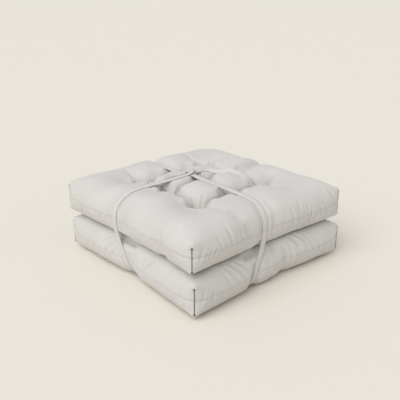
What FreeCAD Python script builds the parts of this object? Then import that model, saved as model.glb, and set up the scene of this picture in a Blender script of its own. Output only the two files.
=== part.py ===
import FreeCAD, Part
import math
import os

# Two square tufted floor pads (futon style), stacked and held by one narrow cloth tie.
# The tie is wrapped round the stack both ways and knotted near the middle of the top face.
# Frame: X and Y run along the pads' sides, +Z is up, and the origin is the middle of the
# underside. Lengths are millimetres.

DRIVING_SIZES = {
    "pad_side": 500,            # finished width and depth of one pad, seam corner to seam corner
    "lower_thickness": 100,     # loft of the pad that carries the other
    "upper_thickness": 122,     # loft of the pad whose top face is free
    "seam_level": 50,           # perimeter seam above a pad's underside
    "pad_gap": 0.4,             # clearance between the two pads where they bear
    "edge_radius": 16,          # rounding of the edges where a pad bears on something
    "free_edge_radius": 34,     # rounding of the free top edges
    "cloth": 1.5,               # canvas thickness
    "fill_gap": 0.4,            # clearance between canvas and batting
    "core_thickness": 30,       # middle batting layer
    "core_inset": 14,           # how far the middle layer stops short of the canvas
    "tuft_pitch": 107,          # spacing of the three by three tufts
    "tuft_mouth": 20,           # radius of a pit at a face that bears on something
    "tuft_floor": 7,            # radius of the pit's floor
    "tuft_depth": 32,           # depth of a pit in a face that bears on something
    "free_tuft_depth": 42,      # depth of a pit in the free top face
    "pit_lead": 5,              # how far the cutting cones start outside the faces
    "twine_radius": 1.3,
    "twine_gap": 0.3,           # clearance round the twine in canvas and batting
    "stitch_radius": 4.5,       # cross stitches that lock the twine on a pit's floor
    "stitch_height": 1.2,
    "allowance_width": 11,      # seam allowance folded inside the perimeter seam
    "allowance_thickness": 3,
    "corner_rise": 68,          # height of the sewn box at each corner
    "corner_width": 1.6,        # how far a corner's stitching stands out on each side
    "dot_radius": 2.6,          # bartack at each end of a corner seam
    "dot_height": 3,
    "tie_width": 15,
    "tie_thickness": 1.2,
    "tie_recess": 0.3,          # how far the front to back loop lies below the canvas round it
    "loop_step": 1.4,           # how much deeper the left to right loop lies, to cross beneath
    "tie_clearance": 0.6,       # side clearance of the channel that the tie presses in
    "front_back_line": -20,     # x of the loop that runs from front to back
    "left_right_line": 30,      # y of the loop that runs from left to right
    "knot_width": 26,
    "knot_depth": 22,
    "knot_root": 5,             # how far the knot's block reaches down into the top face
    "knot_height": 12,          # how far it stands above
}

# Insets are distances inwards from a pad's outer face.
DERIVED_SIZES = {
    "skin": "=0",
    "lining": "=cloth",
    "filling": "=cloth + fill_gap",
    "tie_face": "=tie_recess",
    "tie_back": "=tie_recess + tie_thickness",
    "deep_tie_face": "=tie_recess + loop_step",
    "deep_tie_back": "=tie_recess + loop_step + tie_thickness",
    "tail_face": "=-tie_recess - tie_thickness",
    "tail_back": "=-tie_recess",
}

THICKNESS = {"lower": "<lower_thickness>", "upper": "<upper_thickness>"}
TOP_RADIUS = {"lower": "edge_radius", "upper": "free_edge_radius"}
TOP_TUFT_DEPTH = {"lower": "<tuft_depth>", "upper": "<free_tuft_depth>"}
FLAT = 1e-6             # an edge that rises less than this is level

CORNERS = {"front_left": (-1, -1), "front_right": (1, -1), "back_left": (-1, 1), "back_right": (1, 1)}
TUFT_ROWS = {"front": -1, "middle": 0, "back": 1}
TUFT_COLUMNS = {"left": -1, "centre": 0, "right": 1}

# Loose ends of the tie, seen from above: they leave the knot and lie on the top face.
TAIL_ROUTES = {
    "tie_tail_right": [(-10, 40), (40, 30), (65, -25), (95, -100)],
    "tie_tail_left": [(-20, 45), (-80, 50), (-140, 45)],
}

doc = FreeCAD.newDocument("TuftedPads")
sheet = doc.addObject("Spreadsheet::Sheet", "Sizes")
for row, (alias, value) in enumerate({**DRIVING_SIZES, **DERIVED_SIZES}.items(), start=1):
    sheet.set("A%d" % row, alias)
    sheet.set("B%d" % row, str(value))
    sheet.setAlias("B%d" % row, alias)
doc.recompute()

kept = []               # the sub-parts, in the order in which they are written


def size(alias):
    """A size, read from the sheet as a plain number."""
    return float(sheet.get(alias))


def bind(item, **formulas):
    """Bind properties to formulas, in which a word between < and > is a cell of the sheet."""
    for path, formula in formulas.items():
        item.setExpression(path.replace("__", "."), formula.replace("<", "Sizes.").replace(">", ""))
    return item


def place(item, x="0", y="0", z="0"):
    return bind(item, Placement__Base__x=x, Placement__Base__y=y, Placement__Base__z=z)


def box(name, length, width, height, x, y, z):
    item = bind(doc.addObject("Part::Box", name), Length=length, Width=width, Height=height)
    return place(item, x, y, z)


def cylinder(name, radius, height, x, y, z):
    item = bind(doc.addObject("Part::Cylinder", name), Radius=radius, Height=height)
    return place(item, x, y, z)


def cut(name, base, tool):
    item = doc.addObject("Part::Cut", name)
    item.Base = base
    item.Tool = tool
    return item


def gather(kind, name, shapes, links="Shapes"):
    item = doc.addObject(kind, name)
    setattr(item, links, list(shapes))
    return item


def common(name, *shapes):
    return gather("Part::MultiCommon", name, shapes)


def fuse(name, *shapes):
    return gather("Part::MultiFuse", name, shapes)


def compound(name, shapes):
    return gather("Part::Compound", name, shapes, "Links")


def keep(item, label):
    """Give a finished sub-part its own label, which names its file."""
    item.Label = label
    kept.append(item)
    return item


def level(pad, above="0"):
    """Formula of a height above a pad's underside."""
    base = {"lower": "0", "upper": "<lower_thickness> + <pad_gap>"}[pad]
    return "%s + %s" % (base, above)


def middle(pad, above="0"):
    """Formula of a height above a pad's perimeter seam."""
    return level(pad, "<seam_level> + %s" % above)


# ---- the plump form of a pad ----

forms = {}


def pad_form(pad, inset):
    """A pad's form, drawn in by an inset: a slab with rounded edges."""
    if (pad, inset) in forms:
        return forms[pad, inset]
    name = "%s_form_%s" % (pad, inset)
    side = "<pad_side> - 2 * <%s>" % inset
    corner = "-<pad_side> / 2 + <%s>" % inset
    slab = box(name + "_slab", side, side, "%s - 2 * <%s>" % (THICKNESS[pad], inset),
               corner, corner, level(pad, "<%s>" % inset))
    slab.recompute()
    top_radius = size(TOP_RADIUS[pad]) - size(inset)
    foot_radius = size("edge_radius") - size(inset)
    form = doc.addObject("Part::Fillet", name + "_rounded")
    form.Base = slab
    rounded_edges = []
    for number, edge in enumerate(slab.Shape.Edges, start=1):
        if edge.BoundBox.ZLength < FLAT:
            is_top = edge.CenterOfMass.z > slab.Shape.CenterOfMass.z
            radius = top_radius if is_top else foot_radius
            rounded_edges.append((number, radius, radius))
    form.Edges = rounded_edges
    forms[pad, inset] = form
    return form


def channel(pad, loop, inset):
    """What the tie presses in: a strip of the form, a little wider and deeper than the tie."""
    name = "%s_channel_%s_%s" % (pad, loop, inset)
    depth = {"front_back": "tie_back", "left_right": "deep_tie_back"}[loop]
    bed = name + "_bed"
    row = len(sheet.getUsedCells()) + 1
    sheet.set("B%d" % row, "=%s + tie_clearance + %s" % (depth, inset))
    sheet.setAlias("B%d" % row, bed)
    sheet.recompute()
    width = "<tie_width> + 2 * <tie_clearance> + 2 * <%s>" % inset
    reach = "2 * <pad_side>"
    edge = "<edge_radius> / 3"
    foot = {"lower": "-<pad_side>", "upper": level(pad, edge)}[pad]
    height = {"lower": "<pad_side> + <lower_thickness> - %s" % edge, "upper": "<pad_side>"}[pad]
    if loop == "front_back":
        strip = box(name + "_strip", width, reach, height,
                    "<front_back_line> - (%s) / 2" % width, "-<pad_side>", foot)
    else:
        strip = box(name + "_strip", reach, width, height,
                    "-<pad_side>", "<left_right_line> - (%s) / 2" % width, foot)
    return cut(name, strip, pad_form(pad, bed))


def tuft_places():
    """Name and the formulas of x and y of each tuft."""
    for row_name, row_sign in TUFT_ROWS.items():
        for column_name, column_sign in TUFT_COLUMNS.items():
            yield ("%s_%s" % (row_name, column_name),
                   "%d * <tuft_pitch>" % column_sign, "%d * <tuft_pitch>" % row_sign)


def pits(pad, inset):
    """The conical pits that the tufts pull into both faces, deepened and widened by an inset."""
    slope = "(<tuft_mouth> - <tuft_floor>) / <tuft_depth>"
    floor_radius = "<tuft_floor> + <%s>" % inset
    cones = []
    for tuft, x, y in tuft_places():
        for face, depth in (("top", TOP_TUFT_DEPTH[pad]), ("bottom", "<tuft_depth>")):
            rise = "(%s + <%s> + <pit_lead>)" % (depth, inset)
            mouth_radius = "%s + %s * %s" % (floor_radius, rise, slope)
            cone = doc.addObject("Part::Cone", "%s_pit_%s_%s_%s" % (pad, face, tuft, inset))
            if face == "top":
                bind(cone, Radius1=floor_radius, Radius2=mouth_radius, Height=rise)
                foot = "%s - %s - <%s>" % (THICKNESS[pad], depth, inset)
                cones.append(place(cone, x, y, level(pad, foot)))
            else:
                bind(cone, Radius1=mouth_radius, Radius2=floor_radius, Height=rise)
                cones.append(place(cone, x, y, level(pad, "-<pit_lead>")))
    return cones


def tufted_form(pad, inset):
    """A pad's form with its pits and the tie's channels."""
    name = "%s_tufted_%s" % (pad, inset)
    tools = pits(pad, inset)
    tools += [channel(pad, loop, inset) for loop in ("front_back", "left_right")]
    return cut(name, pad_form(pad, inset), fuse(name + "_tools", *tools))


# ---- one pad: canvas, batting, seams and tufts ----

def half_space(pad, name, side):
    """A block that holds everything above or below a pad's perimeter seam."""
    foot = middle(pad) if side == "top" else middle(pad, "-<pad_side>")
    return box(name, "2 * <pad_side>", "2 * <pad_side>", "<pad_side>", "-<pad_side>", "-<pad_side>", foot)


def twine_holes(pad):
    """Holes from the floor of each lower pit to the floor of the pit above it."""
    radius = "<twine_radius> + <twine_gap>"
    height = "%s - %s - <tuft_depth> + 2 * <tuft_floor>" % (THICKNESS[pad], TOP_TUFT_DEPTH[pad])
    foot = level(pad, "<tuft_depth> - <tuft_floor>")
    return compound(pad + "_twine_holes",
                    [cylinder("%s_twine_hole_%s" % (pad, tuft), radius, height, x, y, foot)
                     for tuft, x, y in tuft_places()])


def canvas_panels(pad, outside, holes):
    """Top and bottom panels: shells that follow the form, its pits and its channels."""
    shell = cut(pad + "_canvas", outside, tufted_form(pad, "lining"))
    pierced = cut(pad + "_canvas_pierced", shell, holes)
    for side in ("top", "bottom"):
        half = half_space(pad, "%s_%s_half" % (pad, side), side)
        keep(common("%s_%s_panel_shape" % (pad, side), pierced, half), "%s_pad_%s_panel" % (pad, side))


def batting(pad, filling, holes):
    """Three layers of batting; the middle one stops short of the seam allowance."""
    half_core = "<core_thickness> / 2"
    reach = "2 * <pad_side>"
    top = box(pad + "_above_core", reach, reach, "<pad_side>",
              "-<pad_side>", "-<pad_side>", middle(pad, half_core))
    bottom = box(pad + "_below_core", reach, reach, "<pad_side>",
                 "-<pad_side>", "-<pad_side>", middle(pad, "-<pad_side> - " + half_core))
    core_side = "<pad_side> - 2 * (<filling> + <core_inset>)"
    core_corner = "-(%s) / 2" % core_side
    core = box(pad + "_core_block", core_side, core_side, "<core_thickness>",
               core_corner, core_corner, middle(pad, "-" + half_core))
    layers = {"upper": common(pad + "_batting_upper_block", filling, top),
              "core": core,
              "lower": common(pad + "_batting_lower_block", filling, bottom)}
    for layer, block in layers.items():
        keep(cut("%s_batting_%s" % (pad, layer), block, holes), "%s_pad_batting_%s" % (pad, layer))


def seam_allowance(pad, filling):
    """The turned-in edges of both panels, sewn together all round inside the perimeter seam."""
    inner_side = "<pad_side> - 2 * (<filling> + <allowance_width>)"
    inner_corner = "-(%s) / 2" % inner_side
    foot = middle(pad, "-<allowance_thickness> / 2")
    band = box(pad + "_allowance_band", "<pad_side>", "<pad_side>", "<allowance_thickness>",
               "-<pad_side> / 2", "-<pad_side> / 2", foot)
    opening = box(pad + "_allowance_opening", inner_side, inner_side, "<allowance_thickness>",
                  inner_corner, inner_corner, foot)
    inside = common(pad + "_allowance_inside", band, filling)
    keep(cut(pad + "_allowance", inside, opening), pad + "_pad_seam_allowance")


def corner_seams(pad):
    """Each boxed corner is closed by an upright row of stitches with a bartack at both ends."""
    width = "2 * <corner_width>"
    for corner, (along_x, along_y) in CORNERS.items():
        name = "%s_corner_%s" % (pad, corner)
        x = "%d * <pad_side> / 2" % along_x
        y = "%d * <pad_side> / 2" % along_y
        row = box(name + "_row", width, width, "<corner_rise>", x + " - <corner_width>",
                  y + " - <corner_width>", middle(pad, "-<corner_rise> / 2"))
        foot_dot = cylinder(name + "_foot_dot", "<dot_radius>", "<dot_height>", x, y,
                            middle(pad, "-<corner_rise> / 2"))
        head_dot = cylinder(name + "_head_dot", "<dot_radius>", "<dot_height>", x, y,
                            middle(pad, "<corner_rise> / 2 - <dot_height>"))
        stitches = fuse(name + "_stitches", row, foot_dot, head_dot)
        keep(cut(name, stitches, pad_form(pad, "skin")), "%s_pad_corner_seam_%s" % (pad, corner))


def tuft_twines(pad):
    """A twine through the pad at each tuft, locked by cross stitches on both pits' floors."""
    length = "%s - %s - <tuft_depth>" % (THICKNESS[pad], TOP_TUFT_DEPTH[pad])
    low = level(pad, "<tuft_depth>")
    high = level(pad, "<tuft_depth> + " + length)
    for tuft, x, y in tuft_places():
        name = "%s_twine_%s" % (pad, tuft)
        shank = cylinder(name + "_shank", "<twine_radius>", length, x, y, low)
        head = cylinder(name + "_head", "<stitch_radius>", "<stitch_height>", x, y, high)
        foot = cylinder(name + "_foot", "<stitch_radius>", "<stitch_height>", x, y,
                        low + " - <stitch_height>")
        keep(fuse(name, shank, head, foot), "%s_pad_tuft_twine_%s" % (pad, tuft))


# ---- the tie ----

LOOPS = {"front_back": ("tie_face", "tie_back"), "left_right": ("deep_tie_face", "deep_tie_back")}


def tie_sleeve(pad, loop):
    """A thin shell of a pad's form, from which a loop of the tie is a narrow slice."""
    face, back = LOOPS[loop]
    return cut("%s_sleeve_%s" % (pad, loop), pad_form(pad, face), pad_form(pad, back))


def tie_under_runs():
    """The part of each loop that passes under the lower pad and up to its seam."""
    foot = "-<pad_side>"
    height = "<pad_side> + <seam_level>"
    strips = {
        "front_back": box("front_back_under_strip", "<tie_width>", "2 * <pad_side>", height,
                          "<front_back_line> - <tie_width> / 2", "-<pad_side>", foot),
        "left_right": box("left_right_under_strip", "2 * <pad_side>", "<tie_width>", height,
                          "-<pad_side>", "<left_right_line> - <tie_width> / 2", foot),
    }
    for loop, strip in strips.items():
        keep(common("under_run_" + loop, tie_sleeve("lower", loop), strip), "tie_under_run_" + loop)


def tie_top_runs(knot_block):
    """Each loop's two runs over the upper pad, from its seam up to the knot."""
    foot = middle("upper")
    half_reach = "<pad_side>"
    across_x = "<front_back_line> - <tie_width> / 2"
    across_y = "<left_right_line> - <tie_width> / 2"
    strips = {
        "front": ("front_back", "<tie_width>", half_reach, across_x, "<left_right_line> - <pad_side>"),
        "back": ("front_back", "<tie_width>", half_reach, across_x, "<left_right_line>"),
        "left": ("left_right", half_reach, "<tie_width>", "<front_back_line> - <pad_side>", across_y),
        "right": ("left_right", half_reach, "<tie_width>", "<front_back_line>", across_y),
    }
    sleeves = {loop: tie_sleeve("upper", loop) for loop in LOOPS}
    for side, (loop, length, width, x, y) in strips.items():
        strip = box("top_run_%s_strip" % side, length, width, "<pad_side>", x, y, foot)
        run = common("top_run_%s_slice" % side, sleeves[loop], strip)
        keep(cut("top_run_" + side, run, knot_block), "tie_top_run_" + side)


def tie_side_legs():
    """The straight bridges between the two pads' seams, one on each side of the stack."""
    foot = middle("lower")
    height = "<lower_thickness> + <pad_gap>"
    across_x = "<front_back_line> - <tie_width> / 2"
    across_y = "<left_right_line> - <tie_width> / 2"
    legs = {
        "front": ("<tie_width>", "<tie_thickness>", across_x, "-<pad_side> / 2 + <tie_face>"),
        "back": ("<tie_width>", "<tie_thickness>", across_x, "<pad_side> / 2 - <tie_back>"),
        "left": ("<tie_thickness>", "<tie_width>", "-<pad_side> / 2 + <deep_tie_face>", across_y),
        "right": ("<tie_thickness>", "<tie_width>", "<pad_side> / 2 - <deep_tie_back>", across_y),
    }
    for side, (length, width, x, y) in legs.items():
        keep(box("side_leg_" + side, length, width, height, x, y, foot), "tie_side_leg_" + side)


def tie_knot(outside):
    """The knot where the loops cross, seated on the top face; returns the block it is cut from."""
    block = box("knot_block", "<knot_width>", "<knot_depth>", "<knot_root> + <knot_height>",
                "<front_back_line> - <knot_width> / 2", "<left_right_line> - <knot_depth> / 2",
                level("upper", "<upper_thickness> - <knot_root>"))
    keep(cut("knot", block, outside), "tie_knot")
    return block


def tie_tails(knot_block):
    """The loose ends, as narrow strips of a thin shell just above the upper pad's form."""
    shell = cut("tail_shell", pad_form("upper", "tail_face"), pad_form("upper", "tail_back"))
    for label, route in TAIL_ROUTES.items():
        pieces = []
        for number, (start, end) in enumerate(zip(route, route[1:])):
            run_x = end[0] - start[0]
            run_y = end[1] - start[1]
            stretch = doc.addObject("Part::Box", "%s_stretch_%d" % (label, number))
            bind(stretch, Length="%s" % math.hypot(run_x, run_y), Width="<tie_width>", Height="<pad_side>")
            turn = FreeCAD.Rotation(FreeCAD.Vector(0, 0, 1), math.degrees(math.atan2(run_y, run_x)))
            shift = turn.multVec(FreeCAD.Vector(0, -size("tie_width") / 2, 0))
            stretch.Placement = FreeCAD.Placement(FreeCAD.Vector(start[0], start[1], 0) + shift, turn)
            bind(stretch, Placement__Base__z=middle("upper"))
            pieces.append(stretch)
            if number:
                pieces.append(cylinder("%s_turn_%d" % (label, number), "<tie_width> / 2", "<pad_side>",
                                       "%s" % start[0], "%s" % start[1], middle("upper")))
        strip = fuse(label + "_strip", *pieces)
        keep(cut(label + "_shape", common(label + "_slice", shell, strip), knot_block), label)


# ---- the whole object ----

outsides = {}
for pad_name in ("lower", "upper"):
    outsides[pad_name] = tufted_form(pad_name, "skin")
    filling_form = tufted_form(pad_name, "filling")
    hole_set = twine_holes(pad_name)
    canvas_panels(pad_name, outsides[pad_name], hole_set)
    batting(pad_name, filling_form, hole_set)
    seam_allowance(pad_name, filling_form)
    corner_seams(pad_name)
    tuft_twines(pad_name)

tie_under_runs()
tie_side_legs()
knot_space = tie_knot(outsides["upper"])
tie_top_runs(knot_space)
tie_tails(knot_space)
doc.recompute()

failed = [item.Name for item in doc.Objects if "Invalid" in item.State or "Error" in item.State]
if failed:
    raise RuntimeError("objects that failed to build: " + ", ".join(failed))
for item in kept:
    if item.Shape.isNull() or not item.Shape.isValid() or not item.Shape.Solids:
        raise RuntimeError("no valid solid in " + item.Label)

os.makedirs("parts", exist_ok=True)
for item in kept:
    item.Shape.exportStep(os.path.join("parts", item.Label + ".step"))
print("wrote %d sub-parts" % len(kept))
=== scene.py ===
import math

import bmesh
import bpy
import numpy as np
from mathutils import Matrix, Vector
from mathutils.bvhtree import BVHTree


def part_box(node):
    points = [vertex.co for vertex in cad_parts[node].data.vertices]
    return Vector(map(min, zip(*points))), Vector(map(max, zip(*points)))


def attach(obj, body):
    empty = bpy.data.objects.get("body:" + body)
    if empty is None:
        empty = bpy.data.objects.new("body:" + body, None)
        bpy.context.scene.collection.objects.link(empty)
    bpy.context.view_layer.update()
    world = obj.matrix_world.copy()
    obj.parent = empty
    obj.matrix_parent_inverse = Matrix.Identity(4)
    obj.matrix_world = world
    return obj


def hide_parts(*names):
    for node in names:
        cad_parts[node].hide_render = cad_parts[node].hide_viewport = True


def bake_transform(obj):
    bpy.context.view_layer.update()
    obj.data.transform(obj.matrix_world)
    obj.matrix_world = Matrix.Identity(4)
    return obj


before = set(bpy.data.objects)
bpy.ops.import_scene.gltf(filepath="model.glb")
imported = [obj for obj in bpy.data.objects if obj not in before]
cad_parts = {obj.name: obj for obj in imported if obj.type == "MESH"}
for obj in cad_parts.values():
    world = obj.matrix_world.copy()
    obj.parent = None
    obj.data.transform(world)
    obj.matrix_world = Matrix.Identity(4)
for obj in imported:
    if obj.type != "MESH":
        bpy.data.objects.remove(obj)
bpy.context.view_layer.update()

# Two square tufted pads in canvas, stacked and tied both ways with one cloth tie.
# Everything is in metres, in the frame of the CAD model.

# ---- places and sizes, read from the frame ----

SIDES = ("front", "back", "left", "right")
PADS = ("lower", "upper")
PANEL_LOW = {pad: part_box(pad + "_pad_bottom_panel")[0] for pad in PADS}
PANEL_HIGH = {pad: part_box(pad + "_pad_top_panel")[1] for pad in PADS}
SEAM_Z = {pad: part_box(pad + "_pad_top_panel")[0][2] for pad in PADS}
HALF_SIDE = PANEL_HIGH["lower"][0]
CORNER_LOW, CORNER_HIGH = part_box("lower_pad_corner_seam_front_left")
CORNER_MARGIN = 0.004  # canvas at a corner, past the end of its stitching
HALF_RISE = (CORNER_HIGH[2] - CORNER_LOW[2]) / 2 + CORNER_MARGIN
TUFT_PITCH = sum(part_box("upper_pad_tuft_twine_middle_right")[i][0] for i in (0, 1)) / 2
LEG_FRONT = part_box("tie_side_leg_front")
LEG_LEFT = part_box("tie_side_leg_left")
TIE_WIDTH = LEG_FRONT[1][0] - LEG_FRONT[0][0]
LOOP_X = (LEG_FRONT[0][0] + LEG_FRONT[1][0]) / 2
LOOP_Y = (LEG_LEFT[0][1] + LEG_LEFT[1][1]) / 2
TIE_THICKNESS = 0.0021

TUFTS = [(column * TUFT_PITCH, row * TUFT_PITCH) for row in (-1, 0, 1) for column in (-1, 0, 1)]
TUFT_LINES = (-TUFT_PITCH, 0.0, TUFT_PITCH)
TUFT_NAMES = [row + "_" + column for row in ("front", "middle", "back")
              for column in ("left", "centre", "right")]
CORNERS = {"front_left": (-1, -1), "front_right": (1, -1), "back_left": (-1, 1), "back_right": (1, 1)}
TOUCH = 1e-5  # nearer than this is the same place
FAR = 9.0  # out of reach

scene = bpy.context.scene


def smooth_step(value):
    """0 up to 0, 1 from 1 on, and a smooth rise between them."""
    value = np.clip(value, 0, 1)
    return value * value * (3 - 2 * value)


def bell(value):
    """1 at nothing, falling off smoothly to either side."""
    return np.exp(-value ** 2)


def add_object(name, data):
    thing = bpy.data.objects.new(name, data)
    scene.collection.objects.link(thing)
    return thing


def shade_smooth(mesh):
    mesh.polygons.foreach_set("use_smooth", [True] * len(mesh.polygons))


# ---- camera, light and floor ----

CAMERA_AIM = Vector((-0.0021, 0.0131, 0.1418))
CAMERA_DISTANCE = 1.5
CAMERA_AZIMUTH = math.radians(48.6)
CAMERA_ELEVATION = math.radians(21.12)
CAMERA_LENS = 51.0


def add_camera():
    data = bpy.data.cameras.new("camera")
    data.lens = CAMERA_LENS
    camera = add_object("camera", data)
    level_part = math.cos(CAMERA_ELEVATION)
    view = Vector((math.cos(CAMERA_AZIMUTH) * level_part, math.sin(CAMERA_AZIMUTH) * level_part,
                   -math.sin(CAMERA_ELEVATION)))
    camera.location = CAMERA_AIM - view * CAMERA_DISTANCE
    camera.rotation_euler = view.to_track_quat("-Z", "Y").to_euler()
    scene.camera = camera


SUN_TOWARDS = Vector((0.65, 0.14, -0.75))
SUN_STRENGTH = 1.90
SUN_SPREAD = math.radians(55)
SKY_STRENGTH = 0.60
FLOOR_REACH = 80  # half the floor's side
PAPER_TONE = (0.776, 0.744, 0.668, 1)


def add_studio():
    scene.view_settings.view_transform = "Standard"
    world = bpy.data.worlds.new("studio")
    world.use_nodes = True
    sky = world.node_tree.nodes["Background"]
    sky.inputs["Color"].default_value = (1.0, 1.0, 1.0, 1)
    sky.inputs["Strength"].default_value = SKY_STRENGTH
    scene.world = world
    data = bpy.data.lights.new("soft_light", "SUN")
    data.energy = SUN_STRENGTH
    data.angle = SUN_SPREAD
    light = add_object("soft_light", data)
    light.rotation_euler = SUN_TOWARDS.to_track_quat("-Z", "Y").to_euler()
    mesh = bpy.data.meshes.new("floor")
    mesh.from_pydata([(x * FLOOR_REACH, y * FLOOR_REACH, 0) for x, y in ((-1, -1), (1, -1), (1, 1), (-1, 1))],
                     [], [(0, 1, 2, 3)])
    floor = add_object("floor", mesh)
    paper = bpy.data.materials.new("studio_paper")
    paper.use_nodes = True
    shader = paper.node_tree.nodes["Principled BSDF"]
    shader.inputs["Base Color"].default_value = PAPER_TONE
    shader.inputs["Roughness"].default_value = 0.95
    shader.inputs["Specular IOR Level"].default_value = 0.1
    mesh.materials.append(paper)


# ---- materials ----

class Nodes:
    """Short calls for building a material's node tree."""

    def __init__(self, name, slot_roughness, sheen):
        self.material = bpy.data.materials.new(name)
        self.material.use_nodes = True
        self.tree = self.material.node_tree
        self.shader = self.tree.nodes["Principled BSDF"]
        self.put(self.shader, {"Roughness": slot_roughness, "Specular IOR Level": 0.25,
                               "Sheen Weight": sheen, "Sheen Roughness": 0.5})

    def put(self, node, values):
        for key, value in values.items():
            node.inputs[key].default_value = value

    def add(self, kind, **settings):
        node = self.tree.nodes.new("ShaderNode" + kind)
        for key, value in settings.items():
            setattr(node, key, value)
        return node

    def link(self, source, target):
        self.tree.links.new(source, target)

    def math(self, operation, *values):
        node = self.add("Math", operation=operation)
        for socket, value in zip(node.inputs, values):
            if isinstance(value, (int, float)):
                socket.default_value = value
            else:
                self.link(value, socket)
        return node.outputs[0]

    def noise(self, vector, scale, detail):
        node = self.add("TexNoise")
        self.put(node, {"Scale": scale, "Detail": detail})
        self.link(vector, node.inputs["Vector"])
        return node.outputs["Fac"]

    def ramp(self, factor, stops):
        node = self.add("ValToRGB")
        elements = node.color_ramp.elements
        while len(elements) < len(stops):
            elements.new(0.5)
        for element, (place, colour) in zip(elements, stops):
            element.position = place
            element.color = (*colour, 1)
        self.link(factor, node.inputs["Fac"])
        return node.outputs["Color"]

    def multiply(self, factor, first, second):
        node = self.add("Mix", data_type="RGBA", blend_type="MULTIPLY")
        node.inputs[0].default_value = factor
        self.link(first, node.inputs[6])
        self.link(second, node.inputs[7])
        return node.outputs[2]

    def bump(self, height, strength, distance, under=None):
        node = self.add("Bump")
        self.put(node, {"Strength": strength, "Distance": distance})
        self.link(height, node.inputs["Height"])
        if under is not None:
            self.link(under, node.inputs["Normal"])
        return node.outputs["Normal"]


def weave_height(nodes, cloth, pitch):
    """Plain weave: at each crossing either the thread along or the thread across is on top."""
    split = nodes.add("SeparateXYZ")
    nodes.link(cloth, split.inputs[0])
    waves = [nodes.math("SINE", nodes.math("MULTIPLY", split.outputs[axis], math.pi / pitch))
             for axis in (0, 1)]
    on_top = nodes.math("GREATER_THAN", nodes.math("MULTIPLY", waves[0], waves[1]), 0.0)
    along, across = (nodes.math("ABSOLUTE", wave) for wave in waves)
    under_part = nodes.math("MULTIPLY", nodes.math("SUBTRACT", 1.0, on_top), across)
    return nodes.math("ADD", nodes.math("MULTIPLY", on_top, along), under_part)


WHITE = (1.0, 1.0, 1.0)
THREAD_SHADE = (0.90, 0.895, 0.89)
# Colour of the painted shade in the weave's gaps between the threads.
PAINTED_WEAVE_GAP_SHADE = (0.80, 0.79, 0.78)


def canvas_material(name, light_tone, dark_tone, pitch, weave_strength=0.35):
    """Matte cotton canvas: plain weave with painted shade in the gaps between its threads, slubs in both
    directions and a soft change of tone.
    """
    nodes = Nodes(name, slot_roughness=0.88, sheen=0.25)
    uv = nodes.add("UVMap", uv_map="cloth")
    cloth = uv.outputs["UV"]
    weave = weave_height(nodes, cloth, pitch)
    slubs = []
    for stretch in ((60.0, 900.0, 1.0), (900.0, 60.0, 1.0)):
        scaling = nodes.add("Mapping")
        nodes.put(scaling, {"Scale": stretch})
        nodes.link(cloth, scaling.inputs["Vector"])
        slubs.append(nodes.noise(scaling.outputs["Vector"], scale=1.0, detail=2.0))
    slub = nodes.math("MULTIPLY", nodes.math("ADD", slubs[0], slubs[1]), 0.5)
    place = nodes.add("TexCoord").outputs["Object"]
    cloud = nodes.noise(place, scale=9.0, detail=4.0)
    tone = nodes.ramp(cloud, [(0.30, dark_tone), (0.70, light_tone)])
    thread_tone = nodes.ramp(slub, [(0.32, THREAD_SHADE), (0.62, WHITE)])
    toned = nodes.multiply(1.0, tone, thread_tone)
    # Painted shade: the weave's low places, between the threads, are coloured darker.
    gaps = nodes.ramp(weave, [(0.0, PAINTED_WEAVE_GAP_SHADE), (0.45, WHITE)])
    nodes.link(nodes.multiply(0.6, toned, gaps), nodes.shader.inputs["Base Color"])
    fuzz = nodes.noise(place, scale=420.0, detail=2.0)
    pucker = nodes.noise(place, scale=70.0, detail=3.0)
    normal = nodes.bump(pucker, strength=0.18, distance=0.0012)
    normal = nodes.bump(slub, strength=0.30, distance=0.0004, under=normal)
    normal = nodes.bump(weave, strength=weave_strength, distance=0.0003, under=normal)
    normal = nodes.bump(fuzz, strength=0.12, distance=0.0004, under=normal)
    nodes.link(normal, nodes.shader.inputs["Normal"])
    nodes.link(nodes.math("ADD", nodes.math("MULTIPLY", slub, 0.12), 0.82), nodes.shader.inputs["Roughness"])
    return nodes.material


def thread_material(name, tone, shade):
    """Twisted sewing thread: fine slanting plies, with painted shade in the grooves between them."""
    nodes = Nodes(name, slot_roughness=0.7, sheen=0.15)
    place = nodes.add("TexCoord").outputs["Object"]
    plies = nodes.add("TexWave", wave_type="BANDS", bands_direction="DIAGONAL")
    nodes.put(plies, {"Scale": 260.0, "Distortion": 1.5})
    nodes.link(place, plies.inputs["Vector"])
    ply = plies.outputs["Fac"]
    # Painted shade: the grooves between the plies are coloured with the shade tone.
    nodes.link(nodes.ramp(ply, [(0.2, shade), (0.8, tone)]), nodes.shader.inputs["Base Color"])
    nodes.link(nodes.bump(ply, strength=0.5, distance=0.0003), nodes.shader.inputs["Normal"])
    return nodes.material


# ---- the canvas of a pad, sewn and filled by cloth simulation ----

CELLS = 96  # cells along a side of the cloth
ROWS = 14  # cells up a side; even, so that one row is the perimeter seam
FRAMES = 20
TUFT_Z = 0.012  # height of a tuft's knot above the pad's middle
TUFT_PATCH = 0.0055  # cloth gathered in by one tuft
PIT_REACH = 0.04  # from a tuft to the rim of its pit
CORNER_TUCK = 0.001  # how far a corner's seam is drawn in
UNEVENNESS = 0.0008  # spread of the chance offsets
FULL_HALF = 0.12  # half the square that is fully slack
FULL_FADE = 0.11
LEAST_FULLNESS = 0.01


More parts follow.
